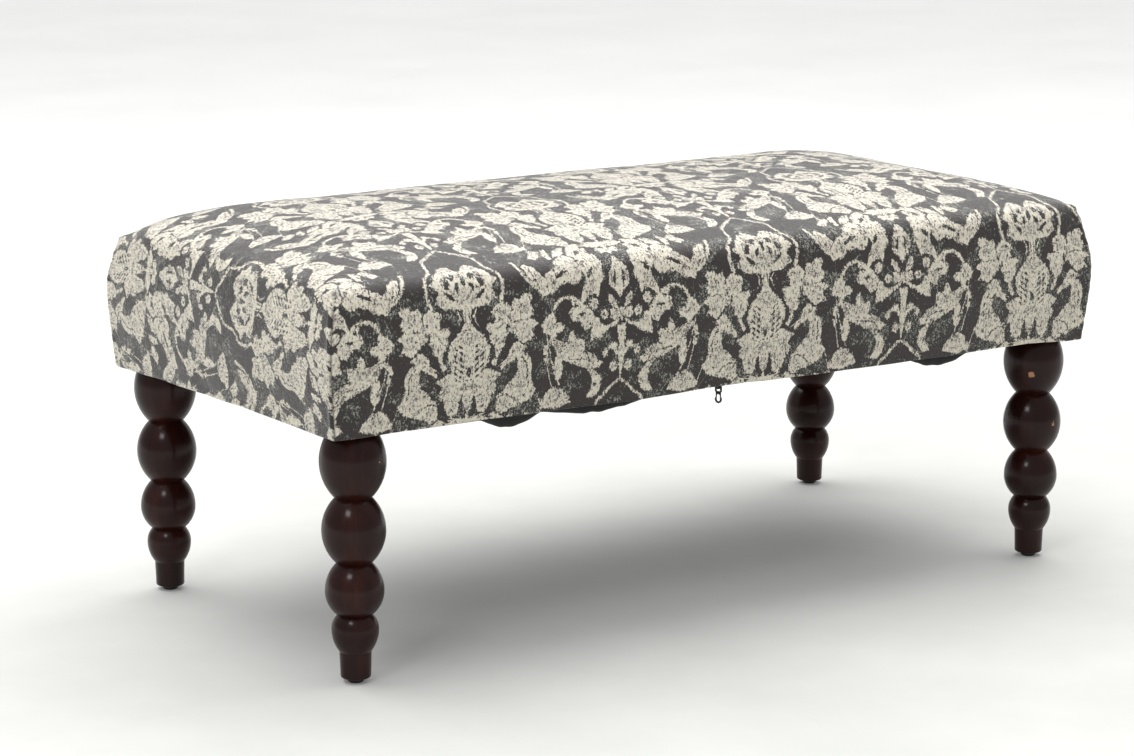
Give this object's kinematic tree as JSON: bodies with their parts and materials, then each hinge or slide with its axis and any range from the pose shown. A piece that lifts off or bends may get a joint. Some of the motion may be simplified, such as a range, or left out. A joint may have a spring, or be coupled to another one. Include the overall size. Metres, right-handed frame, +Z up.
{
  "type": "upholstered bench",
  "caption": "Upholstered bench: a crowned padded seat box in a zipped damask fabric cover, on turned bead legs with floor glides.",
  "frame": {"origin": "on the floor, under the middle of the seat", "axes": "+X along the bench's length, +Y from front to back, +Z up"},
  "size_m": [1.0014, 0.5094, 0.4509],
  "materials": {
    "cover_fabric": "linen-like weave printed with a two-tone damask, matt, faded",
    "wadding": "matt white polyester wadding",
    "foam": "open-cell foam, matt",
    "plywood": "raw birch plywood",
    "frame_timber": "raw planed softwood",
    "leg_wood": "dark mahogany stain under satin lacquer, chipped in places",
    "zinc_steel": "bright zinc plate",
    "glide_plastic": "dark brown plastic, scuffed",
    "base_cloth": "black non-woven cloth, matt",
    "zip_tape": "black woven tape, matt",
    "zip_coil": "black nylon coil, satin",
    "zip_metal": "black lacquered metal, worn at the edges"
  },
  "bodies": {
    "bench": {"cover": "cover_fabric", "wadding": "wadding", "foam_core": "foam", "deck_board": "plywood", "long_rail_front": "frame_timber", "long_rail_back": "frame_timber", "end_rail_left": "frame_timber", "end_rail_right": "frame_timber", "cross_rail_left": "frame_timber", "cross_rail_right": "frame_timber", "corner_block_front_left": "frame_timber", "corner_block_front_right": "frame_timber", "corner_block_back_left": "frame_timber", "corner_block_back_right": "frame_timber", "leg_front_left": "leg_wood", "leg_front_right": "leg_wood", "leg_back_left": "leg_wood", "leg_back_right": "leg_wood", "leg_bolts": "zinc_steel", "tee_nuts": "zinc_steel", "floor_glide_front_left": "glide_plastic", "floor_glide_front_right": "glide_plastic", "floor_glide_back_left": "glide_plastic", "floor_glide_back_right": "glide_plastic", "glide_nails": "zinc_steel", "frame_screws": "zinc_steel", "block_screws": "zinc_steel", "deck_screws": "zinc_steel", "base_cloth": "base_cloth", "zip_tape_front": "zip_tape", "zip_tape_back": "zip_tape", "zip_coil_front": "zip_coil", "zip_coil_back": "zip_coil", "zip_stops": "zip_metal"},
    "zip_slider": {"zip_slider": "zip_metal"},
    "zip_pull": {"zip_pull": "zip_metal"}
  },
  "joints": [
    {"name": "zip_slide", "type": "slide", "parent": "bench", "child": "zip_slider", "axis": [1, 0, 0], "range_m": [-0.381, 0.411]},
    {"name": "zip_pull_swing", "type": "hinge", "parent": "zip_slider", "child": "zip_pull", "pos_m": [-0.015, -0.237, 0.262], "axis": [-0.4226, 0.9063, 0], "range_deg": [-80, 80]}
  ]
}
